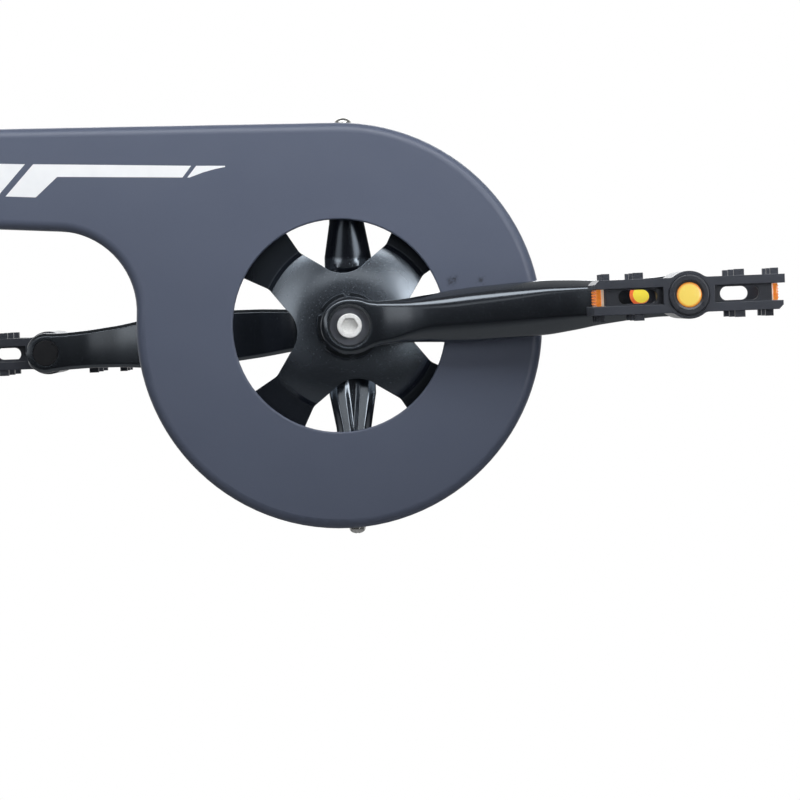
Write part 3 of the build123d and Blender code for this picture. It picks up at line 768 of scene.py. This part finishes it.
# distance from the axis, half width, crest place, outer end of the slope behind the crest
PRESS_TABLE = np.array((
    (19.0, 12.4, 4.0, 8.6),
    (36.0, 12.3, 3.9, 8.5),
    (54.0, 9.2, 1.5, 5.8),
    (72.0, 8.5, 0.9, 5.2),
    (102.0, 8.0, 0.6, 4.8),
))
PRESS_FROM = 26.6
CREST = 4.6

# upper arm
CROWN_WINDOW = window(ease=1.6, reach=1.0, count=9)
CROWN_STEPS = 15
CROWN_POWER = 2.4
CROWN_RUN = 4.4
KNUCKLE_AT = 30.4
KNUCKLE_ASIDE = 5.7
KNUCKLE_HEIGHT = 0.5
KNUCKLE_WIDTH = 1.7
KNUCKLE_FRONT = 1.2
KNUCKLE_TAIL = 3.4

# lower arm
RIDGE_WINDOW = window(ease=0.7, reach=1.0, count=9)
SLOPE_END = 4.4
VALLEY = 0.9
VALLEY_SHARE = 0.45
FLANK = 2.5
RAMP_PLACES = (PRESS_FROM, 31.0, 33.0, 61.0)
RAMP_SHARES = (0.0, 0.16, 0.2, 1.0)

STRIP_FROM = 19.6
STRIP_TO = 101.0
STRIP_ROWS = 110
STRIP_COLUMNS = 57
STRIP_THICK = 2.0
STRIP_EDGE = 1.2
STRIP_EDGE_DROP = 0.5
BRACKET_RING = ((17.6, 34.0), (23.6, 34.0), (24.0, 34.4), (24.0, 35.6), (23.6, 36.0), (17.6, 36.0))
TAB_LOW = (-8.0, -52.0, 99.5)
TAB_HIGH = (8.0, -36.2, 101.5)
TAB_EDGE = 0.5
NUT_RADIUS = 4.6
NUT_FROM = 95.5
NUT_TO = 99.6
NUT_EDGE = 0.3
SCREW_OUT = 44.0


def press_height(distance, across, upper):
    """Height of the pressed face above the flat strip.

    The upper arm is a broad crown with two knuckles at the hub, the lower arm a long ramp of two
    ridges with a groove between them.
    """
    places, *columns = PRESS_TABLE.T
    width, crest, slope = (float(np.interp(distance, places, column)) for column in columns)
    if upper:
        share = np.linspace(0, 1, CROWN_STEPS)
        span, levels = share * width, CREST * (1 - share ** CROWN_POWER)
        offsets, weights = CROWN_WINDOW
    else:
        span = (0.0, VALLEY_SHARE * crest, crest, slope, slope + FLANK, width + 1)
        levels = (VALLEY, VALLEY, CREST, SLOPE_END, 0.0, 0.0)
        offsets, weights = RIDGE_WINDOW
    height = float(np.interp(np.abs(across + offsets), span, levels) @ weights)
    if not upper:
        return height * float(np.interp(distance, RAMP_PLACES, RAMP_SHARES))
    past = distance - KNUCKLE_AT
    fall = 1 - past / KNUCKLE_TAIL if past > 0 else exp(-(past / KNUCKLE_FRONT) ** 2)
    aside = (abs(across) - KNUCKLE_ASIDE) / KNUCKLE_WIDTH
    knuckle = KNUCKLE_HEIGHT * max(0.0, fall) * exp(-aside ** 2)
    return height * quarter((distance - PRESS_FROM) / CROWN_RUN) + knuckle


def bracket_strip(upper):
    """One arm along +Z, as a pressed sheet with a rounded front edge."""
    rows, columns = STRIP_ROWS, STRIP_COLUMNS
    front, back = [], []
    for i in range(rows):
        distance = STRIP_FROM + (STRIP_TO - STRIP_FROM) * i / (rows - 1)
        width = float(np.interp(distance, PRESS_TABLE[:, 0], PRESS_TABLE[:, 1]))
        for j in range(columns):
            across = width * (2 * j / (columns - 1) - 1)
            drop = STRIP_EDGE_DROP * (1 - quarter((width - abs(across)) / STRIP_EDGE))
            out = SHELL_FACE + press_height(distance, across, upper)
            front.append((across, -(out + STRIP_THICK - drop), distance))
            back.append((across, -out, distance))
    shift = len(front)
    faces = []
    for i in range(rows - 1):
        for j in range(columns - 1):
            a = i * columns + j
            quad = (a, a + 1, a + columns + 1, a + columns)
            faces.append(quad)
            faces.append(tuple(shift + k for k in reversed(quad)))
    rim = list(range(columns)) + [i * columns + columns - 1 for i in range(1, rows)]
    rim += [(rows - 1) * columns + j for j in range(columns - 2, -1, -1)]
    rim += [i * columns for i in range(rows - 2, 0, -1)]
    for a, b in zip(rim, rim[1:] + rim[:1]):
        faces.append((a, shift + a, shift + b, b))
    return front + back, faces


def bracket():
    """The ring, and on each arm a tab for the guard with a nut under it."""
    shell = Shell().add(*lathe(BRACKET_RING, steps=96))
    nut = [(NUT_RADIUS * cos(a), NUT_RADIUS * sin(a)) for a in around(6)]
    upright = Matrix.Translation((0, -SCREW_OUT, 0)) @ Matrix.Rotation(radians(90), 4, "X")
    for flip in (0, 180):
        place = turn(BRACKET_TILT + flip)
        shell.add(*bracket_strip(flip == 0), place)
        shell.add(*block(TAB_LOW, TAB_HIGH, TAB_EDGE), place)
        shell.add(*prism(nut, NUT_FROM, NUT_TO, NUT_EDGE), place @ upright)
    return shell.mesh("guard_bracket_pressed", sharp=40.0)


piece(
    "guard_bracket_pressed", bracket(), LOOKS["bracket_paint"], "bottom_bracket", "bracket_paint",
    "guard_bracket",
)


# Stripes on the guard

# side-view outlines, X and Z
STRIPES = {
    "stripe_bar": (
        (-164.9, 84.1), (-82.6, 83.3), (-87.1, 77.2), (-152.4, 77.5), (-163.6, 66.8),
        (-179.3, 67.3),
    ),
    "stripe_tip": (
        (-80.0, 83.3), (-64.9, 83.3), (-65.0, 82.7), (-70.6, 81.5), (-76.2, 79.9), (-81.0, 78.1),
        (-83.4, 77.2), (-84.6, 77.2),
    ),
    "stripe_rear": ((-169.2, 84.1), (-183.5, 67.3), (-201.5, 67.6), (-187.2, 84.4)),
}
STRIPE_BACK = GUARD_FACE - 0.02
STRIPE_FRONT = GUARD_FACE + 0.1

for name, outline in STRIPES.items():
    shell = Shell().add(*prism(outline, STRIPE_BACK, STRIPE_FRONT))
    piece(name, shell.mesh(name), STRIPE, "bottom_bracket", "guard_plastic")


# Plain round label on the right crank, bent over its face

LABEL_AT = 151.3
LABEL_ABOVE = 2.1
LABEL_STEPS = 64
# radius and lift off the face, from the rim's back to the middle
LABEL_RINGS = ((6.0, -0.1), (6.0, 0.08), (5.9, 0.14), (3.6, 0.14), (0.05, 0.14))


def label():
    """A thin disc that follows the arm's face."""
    rings = []
    for radius, lift in LABEL_RINGS:
        ring = []
        for a in around(LABEL_STEPS):
            along = LABEL_AT + radius * cos(a)
            ring.append((along, -(face_at(along) + lift), LABEL_ABOVE + radius * sin(a)))
        rings.append(ring)
    return loft(rings)


label_middle = turn(CRANK_ANGLE) @ Vector((LABEL_AT, -face_at(LABEL_AT), LABEL_ABOVE)) * MM
# painted light: the label glows to stand for light it lacks in the pedal's shade
label_look = ringed(
    "label_print", label_middle, core=(0.95, 0.78, 0.08), rim=(0.88, 0.12, 0.05),
    core_radius=0.0041, rim_radius=0.0044, painted_glow=0.5,
)
shell = Shell().add(*label(), turn(CRANK_ANGLE))
piece("crank_label_plain", shell.mesh("crank_label_plain"), label_look, "crank", "disc_amber")


# Pedals: prismatic reflectors and domed discs in the caps

PEDAL_AXLE = turn(CRANK_ANGLE) @ Vector((CRANK_LENGTH, 0, 0))
ON_PEDAL = Matrix.Translation(PEDAL_AXLE) @ turn(PEDAL_TILT)

# distances from the axle, places out, and half the height
REFLECTOR_INNER = 41.5
REFLECTOR_SEAM = REFLECTOR_INNER + 1.4
REFLECTOR_OUTER = 45.7
REFLECTOR_NEAR = 117.8
REFLECTOR_FAR = 171.8
REFLECTOR_HALF = 4.2
REFLECTOR_EDGE = 0.4
BACKING_EDGE = 0.25

PRISM_COLUMNS = 30
PRISM_ROWS = 5
PRISM_DEPTH = 0.45
PRISM_SUNK = 0.15
PRISM_MARGIN_ALONG = 0.8
PRISM_MARGIN_ABOVE = 0.6
PYRAMID = ((0, 1, 2, 3), (0, 1, 4), (1, 2, 4), (2, 3, 4), (3, 0, 4))

DISC_FLOOR = 189.4
DISC_RADIUS = 6.2
DISC_WALL = DISC_FLOOR + 0.55
DOME_RADIUS = 5.95
DOME_FOOT = DISC_FLOOR + 0.78
DISC_PROFILE = (
    (0.0, DISC_FLOOR), (DISC_RADIUS, DISC_FLOOR), (DISC_RADIUS, DISC_WALL),
    (DOME_RADIUS, DOME_FOOT), *dome(DOME_RADIUS, DOME_FOOT, rise=0.32, start=0.15, steps=7),
)
DISC_MIDDLE = DISC_FLOOR + 0.8


def plate(end, inner, outer, edge):
    """A bevelled plate at a pedal's front or rear end, between two distances from its axle."""
    low, high = sorted((end * inner, end * outer))
    near, far, half = REFLECTOR_NEAR, REFLECTOR_FAR, REFLECTOR_HALF
    return block((low, -far, -half), (high, -near, half), edge)


def reflector(end):
    """A moulded plate whose outer face carries rows of small pyramids."""
    face = REFLECTOR_OUTER - PRISM_DEPTH
    shell = Shell().add(*plate(end, REFLECTOR_SEAM, face, REFLECTOR_EDGE), ON_PEDAL)
    span = REFLECTOR_FAR - REFLECTOR_NEAR - 2 * PRISM_MARGIN_ALONG
    tall = 2 * (REFLECTOR_HALF - PRISM_MARGIN_ABOVE)
    root = end * (face - PRISM_SUNK)
    tip = end * REFLECTOR_OUTER
    for i in range(PRISM_COLUMNS):
        for j in range(PRISM_ROWS):
            y0 = -(REFLECTOR_NEAR + PRISM_MARGIN_ALONG + span * i / PRISM_COLUMNS)
            y1 = y0 - span / PRISM_COLUMNS
            z0 = -tall / 2 + tall * j / PRISM_ROWS
            z1 = z0 + tall / PRISM_ROWS
            points = [(root, y, z) for y, z in ((y0, z0), (y1, z0), (y1, z1), (y0, z1))]
            points.append((tip, (y0 + y1) / 2, (z0 + z1) / 2))
            shell.add(points, PYRAMID, ON_PEDAL)
    return shell


def backing(end):
    """The pale plate that a reflector is moulded on."""
    return Shell().add(*plate(end, REFLECTOR_INNER, REFLECTOR_SEAM, BACKING_EDGE), ON_PEDAL)


for side, inverted in SIDES:
    body = f"pedal_{side}"
    for place, end in (("front", 1), ("rear", -1)):
        node = f"pedal_reflector_{place}_{side}"
        name = f"{node}_prisms"
        mesh = reflector(end).mesh(name, sharp=20.0, inverted=inverted)
        piece(name, mesh, LOOKS["reflector_amber"], body, "reflector_amber", node)
        name = f"{node}_backing"
        mesh = backing(end).mesh(name, sharp=30.0, inverted=inverted)
        piece(name, mesh, BACKING, body, "reflector_amber")
    middle = (PEDAL_AXLE + Vector((0, -DISC_MIDDLE, 0))) * (-MM if inverted else MM)
    # painted light: the disc's print glows as if more brightly lit
    look = ringed(
        f"disc_print_{side}", middle, core=(0.95, 0.70, 0.14), rim=(0.93, 0.28, 0.03),
        core_radius=0.0048, rim_radius=0.0060, painted_glow=0.35,
    )
    name = f"pedal_disc_{side}_domed"
    shell = Shell().add(*lathe(DISC_PROFILE, steps=64), Matrix.Translation(PEDAL_AXLE))
    mesh = shell.mesh(name, sharp=40.0, inverted=inverted)
    piece(name, mesh, look, body, "disc_amber", f"pedal_disc_{side}")


# Guard screws with a cross recess, and the threads of the bottom bracket's cups

SCREW_SEAT = 105.17
SCREW_SHARP = 35.0
HEAD_RADIUS = 4.35
HEAD_FOOT = 1.3
# radius and height above the seat: shank, washer and head
SCREW_PROFILE = (
    (0.0, -12.0), (2.0, -12.0), (2.5, -11.5), (2.5, 0.0), (4.6, 0.0), (4.6, 0.7),
    (HEAD_RADIUS, 0.9), (HEAD_RADIUS, HEAD_FOOT),
    *dome(HEAD_RADIUS, HEAD_FOOT, rise=2.85, start=0.12, steps=9),
)
# height above the seat, reach of the cross there
CROSS_LEVELS = ((2.4, 0.9), (3.6, 1.9), (5.0, 2.4))
CROSS_HALF = 0.5
CUP_THREAD = dict(
    radius=17.4, pitch=1.06, start=15.93, stop=33.07,
    rise=0.28, sink=0.15, root=0.42, crest=0.06, steps=48,
)


def guard_screw(name, flip):
    """A pan head on a washer, with its shank down into the bracket's nut."""
    seat = Matrix.Translation((0, -SCREW_OUT, SCREW_SEAT))
    place = turn(BRACKET_TILT + flip) @ seat @ Matrix.Rotation(radians(-90), 4, "X")
    body = Shell().add(*lathe(SCREW_PROFILE, steps=48), place)
    rings = []
    for out, reach in CROSS_LEVELS:
        ring = []
        for a in around(4):
            for x, z in ((reach, -CROSS_HALF), (reach, CROSS_HALF), (CROSS_HALF, CROSS_HALF)):
                ring.append((x * cos(a) - z * sin(a), -out, x * sin(a) + z * cos(a)))
        rings.append(ring)
    cross = Shell().add(*loft(rings), place)
    return cut(body.mesh(name, SCREW_SHARP), cross.mesh("cross", SCREW_SHARP), SCREW_SHARP)


for node, flip in (("guard_screw_top", 0), ("guard_screw_bottom", 180)):
    name = f"{node}_cross"
    piece(name, guard_screw(name, flip), LOOKS["screw_zinc"], "bottom_bracket", "screw_zinc", node)

for side, inverted in SIDES:
    name = f"bb_thread_{side}"
    mesh = Shell().add(*thread(**CUP_THREAD)).mesh(name, sharp=30.0, inverted=inverted)
    piece(name, mesh, LOOKS["steel"], "bottom_bracket", "steel")


# Camera, floor and light, in metres

CAMERA_PLACE = (0.0262, -2.534, 0.011)
CAMERA_PITCH = 88.847
CAMERA_LENS = 213.3
CAMERA_SENSOR = 36.0

FLOOR_LEVEL = -0.55
FLOOR_RADIUS = 1.1
FLOOR_STEPS = 96
FLOOR_GREY = (0.55, 0.55, 0.55)
FLOOR_PALE = (0.58, 0.58, 0.58)
FLOOR_FADE = (0.55, 1.15)
FLOOR_GLOW = (0.45, 0.95)

# name, place, aim, width, height, watts, spread in degrees
LAMPS = (
    ("front_low", (0.0, -1.85, 0.50), (0.0, -0.06, 0.55), 0.9, 0.35, 0.2, 60.0),
    ("right_box", (0.90, -1.62, 0.44), (0.0, -0.06, 0.45), 0.8, 1.0, 1.75, 60.0),
    ("left_box", (-0.90, -1.60, 0.44), (0.0, -0.06, 0.45), 0.8, 1.0, 0.5, 60.0),
    ("top_strip", (0.0, -0.29, 0.34), (0.0, -0.06, 0.0), 1.2, 0.20, 1.9, 130.0),
    ("back_box", (0.0, 1.5, 0.7), (0.0, 0.1, 0.0), 1.2, 0.8, 2.5, 90.0),
)
LAMP_COLOUR = (0.97, 0.985, 1.0)
ROOM_COLOUR = (0.94, 0.97, 1.0)
# spans of the direction's Y, and the strengths at their ends
ROOM_SPAN = (-0.3, 0.6)
ROOM_STRENGTH = (0.03, 0.3)
MIRROR_SPAN = (0.3, 0.9)
MIRROR_STRENGTH = (0.0, 0.8)
WHITE = (1.0, 1.0, 1.0)


def aimed(thing, place, target):
    """Put a thing at a place, facing a target."""
    thing.location = place
    thing.rotation_euler = (Vector(target) - Vector(place)).to_track_quat("-Z", "Y").to_euler()


camera = bpy.data.objects.new("camera", bpy.data.cameras.new("camera"))
bpy.context.scene.collection.objects.link(camera)
camera.location = CAMERA_PLACE
camera.rotation_euler = (radians(CAMERA_PITCH), 0, 0)
camera.data.sensor_width = CAMERA_SENSOR
camera.data.lens = CAMERA_LENS
camera.data.clip_end = 100.0
bpy.context.scene.camera = camera

floor_mesh = bpy.data.meshes.new("floor")
rim = [(FLOOR_RADIUS * cos(a), FLOOR_RADIUS * sin(a), FLOOR_LEVEL) for a in around(FLOOR_STEPS)]
floor_mesh.from_pydata(rim, [], [tuple(range(FLOOR_STEPS))])
floor = bpy.data.objects.new("floor", floor_mesh)
bpy.context.scene.collection.objects.link(floor)

# the floor fades to the white background with distance
paper = Look("floor_paper")
cloud = paper.spread(paper.noise(scale=3.0, detail=3.0))
rays = paper.node("ShaderNodeLightPath").outputs
seen = paper.math("MAXIMUM", rays["Is Camera Ray"], rays["Is Transmission Ray"])
away = paper.ranged(paper.distance((0.0, 0.0, 0.0)), FLOOR_FADE, FLOOR_GLOW)
paper.set(
    Base_Color=paper.mixed(cloud, FLOOR_GREY, FLOOR_PALE),
    Roughness=0.8, Specular_IOR_Level=0.1,
    Emission_Color=WHITE, Emission_Strength=paper.math("MULTIPLY", seen, away),
)
floor_mesh.materials.append(paper.material)

for name, place, target, width, height, watts, spread in LAMPS:
    data = bpy.data.lights.new(name, "AREA")
    data.shape = "RECTANGLE"
    data.size = width
    data.size_y = height
    data.energy = watts
    data.spread = radians(spread)
    data.color = LAMP_COLOUR
    lamp = bpy.data.objects.new(name, data)
    bpy.context.scene.collection.objects.link(lamp)
    lamp.visible_camera = False
    aimed(lamp, place, target)

# a dim room lights the object, and the eye and mirrors see a white one
world = bpy.data.worlds.new("studio")
bpy.context.scene.world = world
world.use_nodes = True
studio = Nodes(world.node_tree)
split = studio.node("ShaderNodeSeparateXYZ")
studio.feed(split.inputs["Vector"], studio.node("ShaderNodeTexCoord").outputs["Generated"])
behind = split.outputs["Y"]
rays = studio.node("ShaderNodeLightPath").outputs
mirrored = studio.ranged(behind, MIRROR_SPAN, MIRROR_STRENGTH)
share = studio.math("MULTIPLY", rays["Is Glossy Ray"], mirrored)
for kind in ("Is Camera Ray", "Is Transmission Ray"):
    share = studio.math("MAXIMUM", share, rays[kind])
room = studio.node("ShaderNodeBackground")
studio.feed(room.inputs["Color"], ROOM_COLOUR)
studio.feed(room.inputs["Strength"], studio.ranged(behind, ROOM_SPAN, ROOM_STRENGTH))
white = studio.node("ShaderNodeBackground")
studio.feed(white.inputs["Color"], WHITE)
studio.feed(white.inputs["Strength"], 1.0)
mix = studio.node("ShaderNodeMixShader")
shades = (share, room.outputs["Background"], white.outputs["Background"])
for socket, value in zip(mix.inputs, shades):
    studio.feed(socket, value)
world_out = studio.node("ShaderNodeOutputWorld")
studio.feed(world_out.inputs["Surface"], mix.outputs["Shader"])

bpy.context.scene.view_settings.view_transform = "Standard"
